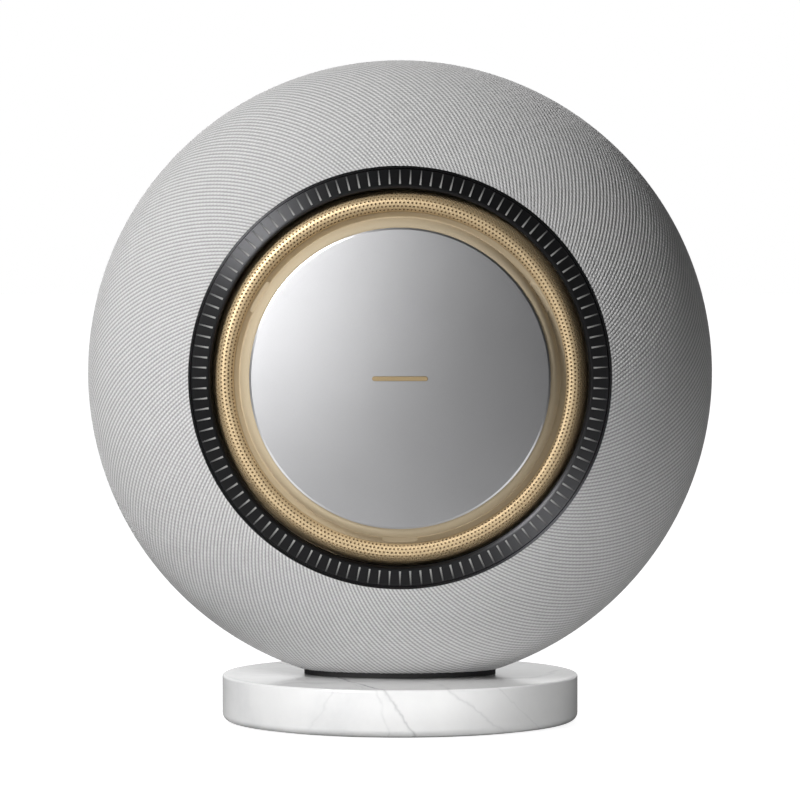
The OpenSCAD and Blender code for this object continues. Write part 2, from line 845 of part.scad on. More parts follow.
module tweeter_frames() {
    color([0.1, 0.1, 0.1]) on_axis() for (a = tweeter_angles) at_driver(a)
        tube(tweeter_dome_r + 0.4, tweeter_r, 0, frame_t);
}

module tweeter_magnets() {
    color([0.25, 0.25, 0.26]) on_axis() for (a = tweeter_angles) at_driver(a)
        translate([0, 0, -tweeter_magnet_h])
            cylinder(r = tweeter_r - seat_w - 0.4, h = tweeter_magnet_h);
}

module tweeter_dome(a) {
    color([0.7, 0.7, 0.68]) on_axis() at_driver(a) rotate_extrude() polygon(concat(
        [for (i = [0 : 8]) let (t = 90 * i / 8)
            [tweeter_dome_r * cos(t), tweeter_lift + tweeter_dome_h * sin(t)]],
        flip([for (i = [0 : 8]) let (t = 90 * i / 8)
            [(tweeter_dome_r - tweeter_dome_t) * cos(t),
                tweeter_lift + (tweeter_dome_h - tweeter_dome_t) * sin(t)]])));
}

module tweeter_dome_top() {
    tweeter_dome(tweeter_angles[0]);
}

module tweeter_dome_left() {
    tweeter_dome(tweeter_angles[1]);
}

module tweeter_dome_right() {
    tweeter_dome(tweeter_angles[2]);
}

// Electronics -----------------------------------------------------------

module electronics_chassis() {
    color([0.65, 0.66, 0.67]) rearward() union() {
        translate([0, 0, chassis_z - chassis_t]) cylinder(r = chassis_r, h = chassis_t);
        chassis_posts(post_r);
        for (x = standoff_x) for (y = standoff_y) translate([x, y, chassis_z])
            cylinder(r = standoff_r, h = standoff_h);
    }
}

module main_board() {
    low = board_z - pcb_t;
    color([0.05, 0.25, 0.4]) rearward() union() {
        box([-48, -50, low], [48, board_low - 4, board_z]);
        box([-10, -46, board_z], [4, socket_y - 9, board_z + 2]);
    }
}

module power_supply_board() {
    low = board_z - pcb_t;
    color([0.05, 0.3, 0.15]) rearward() union() {
        box([-board_half_w, board_low, low], [-split_x, board_high, board_z]);
        box([-50, 4, board_z], [-24, 28, board_z + 15]);
        for (y = [8, 22, 36]) translate([-14, y, board_z]) cylinder(r = 6, h = 16);
        box([-48, 34, board_z], [-26, 46, board_z + 9]);
    }
}

module amplifier_board() {
    low = board_z - pcb_t;
    color([0.05, 0.3, 0.15]) rearward() union() {
        box([split_x, board_low, low], [board_half_w, board_high, board_z]);
        for (x = [12, 22]) for (y = [34, 44]) translate([x, y, board_z]) cylinder(r = 4, h = 8);
        box([30, 30, board_z], [50, 46, board_z + 6]);
    }
}

module amplifier_heatsink() {
    color([0.12, 0.12, 0.13]) rearward() union() {
        box([sink_x, sink_y, board_z], [sink_x + sink_w, sink_y + sink_d, board_z + 3]);
        for (i = [0 : fin_n - 1]) let (x = sink_x + (sink_w - fin_t) * i / (fin_n - 1))
            box([x, sink_y, board_z], [x + fin_t, sink_y + sink_d, board_z + sink_h]);
    }
}

module wifi_antennas() {
    color([0.8, 0.65, 0.3]) rearward() for (a = [70, 110]) rotate([0, 0, a])
        box([flange_in + 1, -antenna_half_l, flange_z],
            [flange_in + 1 + antenna_w, antenna_half_l, flange_z + board_t]);
}

// Rear ---------------------------------------------------------------

module socket_hole(x, w, h) {
    box([x - w / 2, socket_y - h / 2, bay_floor - 10], [x + w / 2, socket_y + h / 2, bay_floor + 10]);
}

module rear_panel() {
    color([0.10, 0.10, 0.11]) rearward() difference() {
        union() {
            translate([0, 0, rear_z - panel_t]) cylinder(r = rear_panel_r, h = panel_t);
            intersection() {
                bay_box(bay_wall, bay_floor - bay_wall);
                cylinder(r = rear_panel_r, h = rear_z - 1);
            }
        }
        bay_box(0, bay_floor);
        socket_hole(inlet_x, inlet_w + gap, inlet_h + gap);
        socket_hole(ethernet_x, ethernet_w + gap, ethernet_h + gap);
        socket_hole(hdmi_x, hdmi_w + gap, hdmi_h + gap);
        socket_hole(usb_x, usb_w + gap, usb_h + gap);
        translate([aux_x, socket_y, bay_floor - 10]) cylinder(r = aux_r + gap / 2, h = 20);
        for (s = [-1, 1]) translate([s * button_x, button_y, rear_z - 10])
            cylinder(r = button_r + 0.2, h = 20);
        box([mute_x - 2.2 - gap, button_y - 2, rear_z - 10],
            [mute_x + 2.2 + mute_travel + gap, button_y + 2, rear_z + 1]);
        ring_of(panel_screw_n, panel_screw_r) translate([0, 0, rear_z - 10])
            cylinder(r = m3_r + screw_gap, h = 20);
        ring_of(panel_screw_n, panel_screw_r) translate([0, 0, rear_z - 1.2])
            cylinder(r = 3, h = 2);
    }
}

module rear_panel_screws() {
    color([0.2, 0.2, 0.2]) rearward() ring_of(panel_screw_n, panel_screw_r) difference() {
        translate([0, 0, rear_z - 1.2]) screw(m3_r, 8, 2.8, 1.1);
        translate([0, 0, rear_z - 0.9]) cylinder(r = 1.2, h = 2, $fn = 6);
    }
}

// A socket body that stands on the board, with one cavity open to the rear
module socket_shell(x, w, h, cw, ch, depth) {
    difference() {
        box([x - w / 2, socket_y - h / 2, board_z], [x + w / 2, socket_y + h / 2, socket_front]);
        box([x - cw / 2, socket_y - ch / 2, socket_front - depth],
            [x + cw / 2, socket_y + ch / 2, socket_front + 1]);
    }
}

module power_inlet() {
    color([0.05, 0.05, 0.05]) rearward() union() {
        difference() {
            socket_shell(inlet_x, inlet_w, inlet_h, 0.1, 0.1, 0.1);
            for (s = [-1, 1]) translate([inlet_x + s * 4.6, socket_y, socket_front - inlet_depth])
                cylinder(r = 4.3, h = 20);
            box([inlet_x - 4.6, socket_y - 3, socket_front - inlet_depth],
                [inlet_x + 4.6, socket_y + 3, socket_front + 1]);
        }
        for (s = [-1, 1]) translate([inlet_x + s * 4.3, socket_y, socket_front - inlet_depth - 1])
            cylinder(r = 1.2, h = inlet_depth - 1);
    }
}

module ethernet_socket() {
    color([0.7, 0.7, 0.72]) rearward() union() {
        socket_shell(ethernet_x, ethernet_w, ethernet_h, 11.8, 9, 11);
    }
}

module hdmi_socket() {
    color([0.7, 0.7, 0.72]) rearward() union() {
        socket_shell(hdmi_x, hdmi_w, hdmi_h, 14.4, 5, 9);
        box([hdmi_x - 5.5, socket_y - 0.4, socket_front - 10],
            [hdmi_x + 5.5, socket_y + 0.4, socket_front - 1]);
    }
}

module usb_c_socket() {
    color([0.7, 0.7, 0.72]) rearward() union() {
        socket_shell(usb_x, usb_w, usb_h, 8.6, 2.8, 7);
        box([usb_x - 3.3, socket_y - 0.35, socket_front - 8],
            [usb_x + 3.3, socket_y + 0.35, socket_front - 1]);
    }
}

module aux_socket() {
    color([0.1, 0.1, 0.1]) rearward() translate([aux_x, socket_y, 0]) difference() {
        translate([0, 0, board_z]) cylinder(r = aux_r, h = socket_front - board_z);
        translate([0, 0, socket_front - aux_depth]) cylinder(r = aux_bore_r, h = 20);
    }
}

module push_button(x) {
    color([0.2, 0.2, 0.2]) rearward() translate([x, button_y, 0]) union() {
        translate([0, 0, rear_z - button_back]) cylinder(r = button_r, h = button_back + 1);
        translate([0, 0, rear_z - panel_t - 1.5]) cylinder(r = button_r + key_lip, h = 1.4);
    }
}

module power_button() {
    push_button(button_x);
}

module pairing_button() {
    push_button(-button_x);
}

module mic_mute_switch() {
    color([0.75, 0.3, 0.1]) rearward() union() {
        box([mute_x - 1.8, button_y - 1.6, rear_z - button_back], [mute_x + 1.8, button_y + 1.6, rear_z + 0.6]);
        box([mute_x - 3.4, button_y - 3.4, rear_z - panel_t - 1.4],
            [mute_x + 3.4, button_y + 3.4, rear_z - panel_t - 0.1]);
    }
}

module button_board() {
    switch_top = rear_z - button_back - button_travel - run_gap;
    low = rear_z - 9.2;
    color([0.05, 0.3, 0.15]) rearward() union() {
        box([-44, button_y - 7, low], [24, button_y + 7, low + board_t]);
        for (s = [-1, 1]) box([s * button_x - 3, button_y - 3, low],
            [s * button_x + 3, button_y + 3, switch_top]);
        box([mute_x - 5, button_y - 3, low], [mute_x + 8, button_y + 3, rear_z - button_back - clip_play]);
        for (x = [-42, 22]) translate([x, button_y, low]) cylinder(r = 2, h = rear_z - panel_t - low);
    }
}

marble_base();
base_foot_pad();
base_steel_plate();
base_bolts();
neck_gasket();
stand_bracket();
fabric_cover();
front_shell();
rear_shell();
shell_gasket();
shell_screws();
inner_baffle();
ring_housing();
control_ring();
ring_ticks();
ring_bearing();
ring_circlip();
ring_encoder_board();
mesh_grille();
disc_carrier();
carrier_screws();
touch_and_mic_board();
disc_foam_tape();
front_disc();
emblem_bar();
woofer_basket();
woofer_magnet();
woofer_top_plate();
woofer_pole_yoke();
woofer_cone();
woofer_surround();
woofer_spider();
woofer_screws();
midrange_frames();
midrange_magnets();
midrange_surrounds();
midrange_cone_left();
midrange_cone_right();
tweeter_frames();
tweeter_magnets();
tweeter_dome_top();
tweeter_dome_left();
tweeter_dome_right();
electronics_chassis();
main_board();
power_supply_board();
amplifier_board();
amplifier_heatsink();
wifi_antennas();
rear_panel();
rear_panel_screws();
power_inlet();
ethernet_socket();
hdmi_socket();
usb_c_socket();
aux_socket();
power_button();
pairing_button();
mic_mute_switch();
button_board();
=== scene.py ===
import json
import math

import bmesh
import bpy
import numpy as np
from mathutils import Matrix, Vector


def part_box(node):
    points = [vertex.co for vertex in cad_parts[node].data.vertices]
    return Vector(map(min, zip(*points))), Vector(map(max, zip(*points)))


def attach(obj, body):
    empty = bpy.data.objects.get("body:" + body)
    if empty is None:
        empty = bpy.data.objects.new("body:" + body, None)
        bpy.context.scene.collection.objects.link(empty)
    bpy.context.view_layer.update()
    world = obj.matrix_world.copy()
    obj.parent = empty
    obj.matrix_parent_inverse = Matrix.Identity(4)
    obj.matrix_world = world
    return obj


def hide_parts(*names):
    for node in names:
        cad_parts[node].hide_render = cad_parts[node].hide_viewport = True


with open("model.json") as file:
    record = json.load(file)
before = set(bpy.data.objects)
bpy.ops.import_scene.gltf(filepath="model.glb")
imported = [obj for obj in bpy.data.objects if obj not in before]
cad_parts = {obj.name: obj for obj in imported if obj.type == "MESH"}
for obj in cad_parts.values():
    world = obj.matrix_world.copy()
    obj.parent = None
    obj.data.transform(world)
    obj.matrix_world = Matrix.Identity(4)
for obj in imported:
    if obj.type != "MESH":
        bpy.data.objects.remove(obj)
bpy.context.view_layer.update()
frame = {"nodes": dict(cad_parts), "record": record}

# ---------------------------------------------------------------- sizes
# Metres, in the CAD model's frame: the disc faces -Y. Places come from the CAD boxes.
MM = 0.001
ROOT = "cabinet"


def box_of(node):
    low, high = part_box(node)
    return np.array(low), np.array(high)


cover_low, cover_high = box_of("fabric_cover")
ring_low, ring_high = box_of("control_ring")
disc_low, disc_high = box_of("front_disc")
base_low, base_high = box_of("marble_base")
housing_low, housing_high = box_of("ring_housing")
panel_low, panel_high = box_of("rear_panel")

AXIS_Z = (ring_low[2] + ring_high[2]) / 2  # height of the body's axis
BODY_R = (cover_high[0] - cover_low[0]) / 2
CUT_DROP = AXIS_Z - cover_low[2]  # from the axis down to the body's flat underside
FRONT_DEPTH = 102 * MM
REAR_DEPTH = 111 * MM
PANEL_R = (panel_high[0] - panel_low[0]) / 2
REAR_Y = panel_high[1]
BASE_R = (base_high[0] - base_low[0]) / 2

HOUSING_R = (housing_high[0] - housing_low[0]) / 2
RING_OUT = (ring_high[0] - ring_low[0]) / 2
RING_W = 10 * MM
RING_IN = RING_OUT - RING_W
TICK_OUT = RING_OUT - 0.7 * MM
TICK_LENGTH = 7.2 * MM
TICK_IN = TICK_OUT - TICK_LENGTH

DISC_R = (disc_high[0] - disc_low[0]) / 2
DISC_FRONT = -disc_low[1]
DISC_BACK = -disc_high[1]
SKIRT_R = DISC_R + 4.9 * MM
GROOVE_W = 3.1 * MM
GAP = 0.1 * MM  # between the groove's rim and the perforated ring
MESH_IN = SKIRT_R + GROOVE_W + GAP
MESH_OUT = RING_IN - 0.8 * MM


def dome_z(r, depth):
    return depth * math.sqrt(1 - (r / BODY_R) ** 2)


FACE_Z = dome_z(HOUSING_R, FRONT_DEPTH)  # where the cover ends and the ring begins, forward of the centre


# ---------------------------------------------------------------- mesh helpers
def to_frame(points):
    """Body-axis points (x right, y up, z forward) to the model's frame."""
    p = np.asarray(points, dtype=float)
    return np.stack([p[:, 0], -p[:, 2], AXIS_Z + p[:, 1]], axis=1)


def rounded(corners, steps=5):
    """A closed outline from (r, z, fillet) corners, each fillet an arc of the given radius."""
    out = []
    n = len(corners)
    for i, (r, z, f) in enumerate(corners):
        here = Vector((r, z))
        if f <= 0:
            out.append((r, z))
            continue
        before = Vector(corners[i - 1][:2]) - here
        after = Vector(corners[(i + 1) % n][:2]) - here
        half = before.angle(after) / 2
        cut = min(f / math.tan(half), 0.49 * before.length, 0.49 * after.length)
        centre = here + (before.normalized() + after.normalized()).normalized() * cut / math.cos(half)
        a = here + before.normalized() * cut - centre
        b = here + after.normalized() * cut - centre
        turn = a.angle_signed(b)
        for k in range(steps + 1):
            t = -turn * k / steps
            spin = Vector((a.x * math.cos(t) - a.y * math.sin(t), a.x * math.sin(t) + a.y * math.cos(t)))
            out.append(tuple(centre + spin))
    return out


def make(name, points, faces, sharp=32, uv=None):
    """A mesh piece with smooth faces, creased where two faces meet at more than sharp degrees."""
    mesh = bpy.data.meshes.new(name)
    mesh.from_pydata(np.asarray(points, dtype=float).tolist(), [], [list(map(int, f)) for f in faces])
    mesh.update()
    mesh.shade_smooth()
    if sharp:
        mesh.set_sharp_from_angle(angle=math.radians(sharp))
    if uv is not None:
        layer = mesh.uv_layers.new(name="UVMap")
        layer.data.foreach_set("uv", np.asarray(uv, dtype=np.float32).ravel())
    piece = bpy.data.objects.new(name, mesh)
    bpy.context.scene.collection.objects.link(piece)
    return piece


def grid_faces(rows, cols, wrap_rows=False):
    """Quads of a grid whose point (i, j) has index i * cols + j. Its columns close into a ring."""
    i = np.arange(rows if wrap_rows else rows - 1)
    i, j = np.meshgrid(i, np.arange(cols), indexing="ij")
    i2, j2 = (i + 1) % rows, (j + 1) % cols
    return np.stack([i * cols + j, i * cols + j2, i2 * cols + j2, i2 * cols + j], axis=-1).reshape(-1, 4)


def lathe_points(outline, count):
    o = np.asarray(outline)
    a = np.arange(count) * 2 * math.pi / count
    r = o[:, 0][:, None]
    z = np.repeat(o[:, 1][:, None], count, axis=1)
    return np.stack([r * np.cos(a), r * np.sin(a), z], axis=-1).reshape(-1, 3)


def lathe(name, outline, count=360, sharp=32):
    """A closed outline turned about the body's axis."""
    faces = grid_faces(len(outline), count, wrap_rows=True)
    return make(name, to_frame(lathe_points(outline, count)), faces, sharp)


def solid_lathe(name, outline, count=360, upright=False, sharp=32):
    """An outline that starts and ends on the axis, turned about the body's axis, or the base's when upright."""
    inner = outline[1:-1]
    points = np.concatenate([lathe_points(inner, count), [[0, 0, outline[0][1]], [0, 0, outline[-1][1]]]])
    if not upright:
        points = to_frame(points)
    faces = grid_faces(len(inner), count).tolist()
    first, last = len(points) - 2, len(points) - 1
    top = (len(inner) - 1) * count
    for j in range(count):
        k = (j + 1) % count
        faces.append([first, k, j])
        faces.append([last, top + j, top + k])
    return make(name, points, faces, sharp)


def face_outwards(piece):
    bm = bmesh.new()
    bm.from_mesh(piece.data)
    bmesh.ops.recalc_face_normals(bm, faces=bm.faces)
    bm.to_mesh(piece.data)
    bm.free()
    return piece


# ---------------------------------------------------------------- materials
STITCH_PITCH = 1.7 * MM  # along a rib of the knit
WHITE = (1, 1, 1, 1)

# lean, place, width and darkness of each long vein in the marble
VEINS = ((0.75, -0.0015, 0.0022, 0.95), (0.35, -0.020, 0.0014, 0.25), (-0.5, -0.068, 0.0012, 0.18),
         (1.6, 0.068, 0.0026, 0.30), (1.2, 0.083, 0.0012, 0.22))

# colour, roughness, metallic, scale of the grain, how much its colour varies, depth of its relief
SPECKLED = {
    "gold_cloth": ((0.20, 0.135, 0.06), 0.8, 0.0, 2200, 0.3, 0.00005),
    "gold_metal": ((0.54, 0.41, 0.24), 0.52, 0.5, 2600, 0.05, 0.00001),
    "gold_satin": ((0.50, 0.41, 0.275), 0.8, 0.1, 2600, 0.04, 0.00001),
    "bronze_emblem": ((0.45, 0.34, 0.19), 0.35, 1.0, 3000, 0.08, 0.00001),
    "rubber_black": ((0.02, 0.02, 0.02), 0.7, 0.0, 2500, 0.2, 0.00004),
    "zinc_steel": ((0.55, 0.56, 0.58), 0.32, 1.0, 2000, 0.06, 0.00001),
    "cast_alloy": ((0.5, 0.5, 0.52), 0.55, 1.0, 900, 0.1, 0.00008),
    "shell_plastic": ((0.03, 0.03, 0.032), 0.55, 0.0, 1500, 0.15, 0.00005),
    "bearing_plastic": ((0.75, 0.74, 0.68), 0.4, 0.0, 2000, 0.05, 0.00001),
    "circuit_board": ((0.012, 0.12, 0.05), 0.3, 0.0, 600, 0.35, 0.00002),
    "foam_tape": ((0.02, 0.02, 0.02), 0.9, 0.0, 1800, 0.3, 0.0001),
    "ferrite": ((0.05, 0.05, 0.055), 0.6, 0.0, 1200, 0.2, 0.00005),
    "woofer_paper": ((0.02, 0.02, 0.02), 0.8, 0.0, 1000, 0.3, 0.0001),
    "spider_cloth": ((0.55, 0.33, 0.09), 0.8, 0.0, 1400, 0.2, 0.0001),
    "cone_alloy": ((0.5, 0.5, 0.52), 0.35, 1.0, 2400, 0.05, 0.00001),
    "silk_dome": ((0.05, 0.05, 0.05), 0.45, 0.0, 2600, 0.2, 0.00005),
    "heatsink_black": ((0.02, 0.02, 0.022), 0.45, 1.0, 2000, 0.1, 0.00002),
    "antenna_brass": ((0.7, 0.5, 0.2), 0.3, 1.0, 2000, 0.06, 0.00001),
    "rear_plastic": ((0.035, 0.035, 0.037), 0.5, 0.0, 1600, 0.15, 0.00006),
    "socket_black": ((0.012, 0.012, 0.012), 0.3, 0.0, 2000, 0.1, 0.00001),
    "socket_metal": ((0.62, 0.62, 0.63), 0.28, 1.0, 2400, 0.05, 0.00001),
    "button_plastic": ((0.06, 0.06, 0.062), 0.45, 0.0, 2000, 0.1, 0.00003),
    "mute_accent": ((0.55, 0.12, 0.02), 0.45, 0.0, 2000, 0.08, 0.00003),
}


def output_of(value):
    return value.outputs[0] if isinstance(value, bpy.types.Node) else value


class Nodes:
    """A short way to write a material's node tree."""

    def __init__(self, name, base, rough, metal=0.0, **sockets):
        self.mat = bpy.data.materials.new(name)
        self.mat.use_nodes = True
        self.tree = self.mat.node_tree
        self.bsdf = self.tree.nodes["Principled BSDF"]
        self.set("Base Color", (*base, 1))
        self.set("Roughness", rough)
        self.set("Metallic", metal)
        for key, value in sockets.items():
            self.set(key.replace("_", " "), value)

    def set(self, socket, value):
        self.bsdf.inputs[socket].default_value = value

    def link(self, socket, value):
        self.tree.links.new(output_of(value), self.bsdf.inputs[socket])

    def add(self, kind, props=None, **inputs):
        """A node. Its inputs go by name, or by place as i0, i1 and so on."""
        node = self.tree.nodes.new(kind)
        for key, value in (props or {}).items():
            setattr(node, key, value)
        for key, value in inputs.items():
            by_place = key[0] == "i" and key[1:].isdigit()
            self.plug(node.inputs[int(key[1:])] if by_place else node.inputs[key.replace("_", " ")], value)
        return node

    def plug(self, socket, value):
        if isinstance(value, (bpy.types.NodeSocket, bpy.types.Node)):
            self.tree.links.new(output_of(value), socket)
        else:
            socket.default_value = value

    def place(self):
        return self.add("ShaderNodeTexCoord").outputs["Object"]

    def radius(self):
        """Distance from the body's axis."""
        split = self.add("ShaderNodeSeparateXYZ", Vector=self.place())
        up = self.math("SUBTRACT", split.outputs[2], AXIS_Z)
        return self.math("SQRT", self.math("ADD", self.math("POWER", split.outputs[0], 2.0),
                                           self.math("POWER", up, 2.0)))

    def noise(self, scale, detail=3, rough=0.5, vector=None):
        return self.add("ShaderNodeTexNoise", Vector=vector or self.place(), Scale=scale, Detail=detail,
                        Roughness=rough)

    def grain(self, scale, detail=3, rough=0.5, vector=None):
        return self.noise(scale, detail, rough, vector).outputs["Fac"]

    def math(self, op, a, b=0.0, c=0.0, clamp=False):
        return self.add("ShaderNodeMath", {"operation": op, "use_clamp": clamp}, i0=a, i1=b, i2=c).outputs[0]

    def ramp(self, value, stops):
        node = self.add("ShaderNodeValToRGB", Fac=value)
        ramp = node.color_ramp
        while len(ramp.elements) < len(stops):
            ramp.elements.new(0.5)
        for e, (at, colour) in zip(ramp.elements, stops):
            e.position = at
            e.color = (*colour, 1)
        return node.outputs["Color"]

    def mix(self, share, a, colour):
        """From a socket's colour to a plain one."""
        node = self.add("ShaderNodeMix", {"data_type": "RGBA"}, i0=share, i6=a, i7=(*colour, 1))
        return node.outputs[2]

    def bump(self, height, distance, strength=1.0):
        node = self.add("ShaderNodeBump", Height=height, Strength=strength, Distance=distance)
        self.link("Normal", node.outputs[0])


def speckled(name, colour, rough, metal, grain, vary, depth, haze=0.12):
    """A surface with fine grain in its colour and relief, and broad haze in its roughness."""
    n = Nodes(name, colour, rough, metal)
    fine = n.grain(grain, 2)
    broad = n.grain(35, 4)
    dark = tuple(max(0.0, c * (1 - vary)) for c in colour)
    light = tuple(min(1.0, c * (1 + vary) + 0.002) for c in colour)
    n.link("Base Color", n.ramp(n.math("MULTIPLY_ADD", fine, 0.6, n.math("MULTIPLY", broad, 0.4)),
                                [(0.3, dark), (0.7, light)]))
    n.link("Roughness", n.math("MULTIPLY_ADD", broad, haze, rough - haze / 2))
    n.bump(fine, depth)
    return n.mat


def knit_material():
    """Ribbed polyester knit: u counts the ribs, v runs along them in metres. Its colour is painted darker in the
    valleys between the ribs, as painted shade.
    """
    n = Nodes("knit_cover", (0.62, 0.62, 0.61), 0.85, Specular_IOR_Level=0.25, Sheen_Weight=0.25,
              Sheen_Roughness=0.4)
    uv = n.add("ShaderNodeUVMap", {"uv_map": "UVMap"})
    split = n.add("ShaderNodeSeparateXYZ", Vector=uv.outputs[0])
    around = n.math("MULTIPLY", split.outputs[0], 2 * math.pi)
    row = n.math("MULTIPLY", split.outputs[1], 2 * math.pi / STITCH_PITCH)
    # painted shade: the colour is lighter on each rib's crest and darker in the valleys between ribs
    height = n.math("MULTIPLY_ADD", n.math("COSINE", around), 0.5, 0.5)
    side = n.math("MULTIPLY", n.math("SINE", around), 1.1)
    stitch = n.math("SINE", n.math("ADD", row, side))
    yarn = n.grain(900)
    melange = n.grain(160)
    # painted rib shade, plus stitch pattern, yarn grain and melange that vary at random
    yarn_tone_and_painted_shade = n.math("MULTIPLY_ADD", height, 0.62, n.math("MULTIPLY", stitch, 0.07))
    yarn_tone_and_painted_shade = n.math("ADD", yarn_tone_and_painted_shade, n.math("MULTIPLY_ADD", yarn, 0.16, n.math("MULTIPLY_ADD", melange, 0.12, -0.06)))
    n.link("Base Color", n.ramp(yarn_tone_and_painted_shade, [(0.05, (0.36, 0.357, 0.357)), (0.45, (0.61, 0.605, 0.605)),
                                       (0.9, (0.78, 0.775, 0.775))]))
    n.link("Roughness", n.math("MULTIPLY_ADD", yarn, 0.1, 0.8))
    n.bump(n.math("MULTIPLY_ADD", stitch, 0.7, n.math("MULTIPLY", yarn, 0.6)), 0.0002, 0.8)
    return n.mat


def tick_material():
    """Pale enamel in a groove, painted lighter at the inner end and darker towards the outer end: a painted
    highlight where light catches the groove.
    """
    n = Nodes("tick_pale", (0.3, 0.3, 0.3), 0.5)
    # painted highlight: the colour runs from pale at the inner end to dark at the outer end
    share = n.add("ShaderNodeMapRange", i0=n.radius(), i1=TICK_IN, i2=TICK_OUT).outputs[0]
    n.link("Base Color", n.ramp(n.math("MULTIPLY_ADD", n.grain(3000, 2), 0.12, share),
                                [(0.1, (0.34, 0.34, 0.33)), (0.6, (0.17, 0.17, 0.165)), (1.0, (0.06, 0.06, 0.06))]))
    return n.mat


def turned_metal(name, colour, rough, anisotropic):
    """Metal turned on a lathe about the body's axis: grain in circles, highlights that stretch across it."""
    n = Nodes(name, colour, rough, 1.0, Anisotropic=anisotropic, Anisotropic_Rotation=0.25)
    lines = n.add("ShaderNodeTexNoise", {"noise_dimensions": "1D"}, W=n.radius(), Scale=3500.0,
                  Detail=3.0).outputs["Fac"]
    n.link("Roughness", n.math("MULTIPLY_ADD", lines, 0.08, rough - 0.04))
    dark = tuple(c * 0.94 for c in colour)
    light = tuple(c * 1.06 for c in colour)
    n.link("Base Color", n.ramp(lines, [(0.3, dark), (0.7, light)]))
    n.link("Tangent", n.add("ShaderNodeTangent", {"direction_type": "RADIAL", "axis": "Y"}).outputs[0])
    n.bump(lines, 0.00002, 0.5)
    return n.mat


def marble_material():
    """White marble: faint clouds, thin wandering veins and one long diagonal vein across the front."""
    n = Nodes("white_marble", (0.9, 0.9, 0.9), 0.2, Coat_Weight=0.3, Coat_Roughness=0.1)
    place = n.place()
    warp = n.noise(16, 5, 0.65, place).outputs["Color"]
    moved = n.add("ShaderNodeVectorMath", {"operation": "MULTIPLY_ADD"}, i0=warp, i1=(0.022, 0.022, 0.022),
                  i2=place).outputs[0]
    x, y, z = n.add("ShaderNodeSeparateXYZ", Vector=moved).outputs

    def line(lean, at, width, darkness):
        """A vein where x + lean * z + 0.35 * y crosses a value."""
        run = n.math("MULTIPLY_ADD", y, 0.35, n.math("MULTIPLY_ADD", z, lean, x))
        off = n.math("ABSOLUTE", n.math("SUBTRACT", run, at))
        near = n.math("SUBTRACT", 1.0, n.math("MULTIPLY", off, 1 / width), clamp=True)
        return n.math("MULTIPLY", n.math("POWER", near, 1.6), darkness)

    waves = n.grain(9.0, 2.0, 0.45, moved)
    web = n.math("SUBTRACT", 1.0, n.math("MULTIPLY", n.math("ABSOLUTE", n.math("SUBTRACT", waves, 0.5)), 45.0),
                 clamp=True)
    patch = n.math("MULTIPLY", n.math("SUBTRACT", n.grain(14, 2, 0.5, place), 0.5), 6.0, clamp=True)
    fade = n.math("MULTIPLY_ADD", n.grain(60, 3, 0.5, place), 1.8, -0.35, clamp=True)
    veins = n.math("MULTIPLY", n.math("MULTIPLY", web, patch), 0.5)
    for vein in VEINS:
        veins = n.math("MAXIMUM", veins, n.math("MULTIPLY", line(*vein), fade))
    cloud = n.grain(12, 6, 0.62, moved)
    base = n.ramp(cloud, [(0.3, (0.76, 0.765, 0.77)), (0.48, (0.87, 0.87, 0.87)), (0.7, (0.93, 0.93, 0.925))])
    n.link("Base Color", n.mix(veins, base, (0.27, 0.28, 0.29)))
    n.link("Roughness", n.math("MULTIPLY_ADD", cloud, 0.1, 0.15))
    return n.mat


MATERIALS = {name: speckled(name, *look) for name, look in SPECKLED.items()}
MATERIALS["marble"] = marble_material()
MATERIALS["knit_fabric"] = knit_material()
MATERIALS["tick_pale"] = tick_material()
MATERIALS["ring_black"] = turned_metal("ring_black", (0.034, 0.034, 0.0355), 0.40, 1.0)
MATERIALS["satin_disc"] = speckled("satin_disc", (0.50, 0.50, 0.51), 0.295, 1.0, 3200, 0.03, 0.000008, haze=0.015)
SLOT_OF = {s["node"]: s["material_slot"] for s in frame["record"]["subparts"]}


def finish_piece(piece, material, body=ROOT, replaces=()):
    piece.data.materials.append(MATERIALS[material])
    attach(piece, body)
    if replaces:
        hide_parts(*replaces)
    return piece


def dress_cad_nodes():
    for node, obj in frame["nodes"].items():
        mat = MATERIALS[SLOT_OF[node]]
        if not obj.material_slots:
            obj.data.materials.append(mat)
        for s in obj.material_slots:
            s.material = mat


# ---------------------------------------------------------------- knitted cover
RIBS = 330
RIBS_PER_M = 289.0  # ribs that a column of the mesh drifts over per metre of the meridian
RIB_STEPS = 6
RIB_H = 0.34 * MM
RIB_ROUND = 0.8
COVER_ROW = 1.5 * MM
HEM_W = 2 * MM
HEM_TUCK = 0.25 * MM


def cover_line():
    """The cover's meridian from the ring's edge, over the rim, to the rear panel: points and length run."""
    front_end = math.acos((HOUSING_R + 0.3 * MM) / BODY_R)
    t = np.linspace(front_end, 0, 800)
    front = np.stack([BODY_R * np.cos(t), FRONT_DEPTH * np.sin(t)], axis=1)
    rear_end = math.acos((PANEL_R + 0.5 * MM) / BODY_R)
    t = np.linspace(0, rear_end, 1000)[1:]
    rear = np.stack([BODY_R * np.cos(t), -np.minimum(REAR_DEPTH * np.sin(t), REAR_Y)], axis=1)
    line = np.concatenate([front, rear])
    run = np.concatenate([[0], np.cumsum(np.linalg.norm(np.diff(line, axis=0), axis=1))])
    return line, run


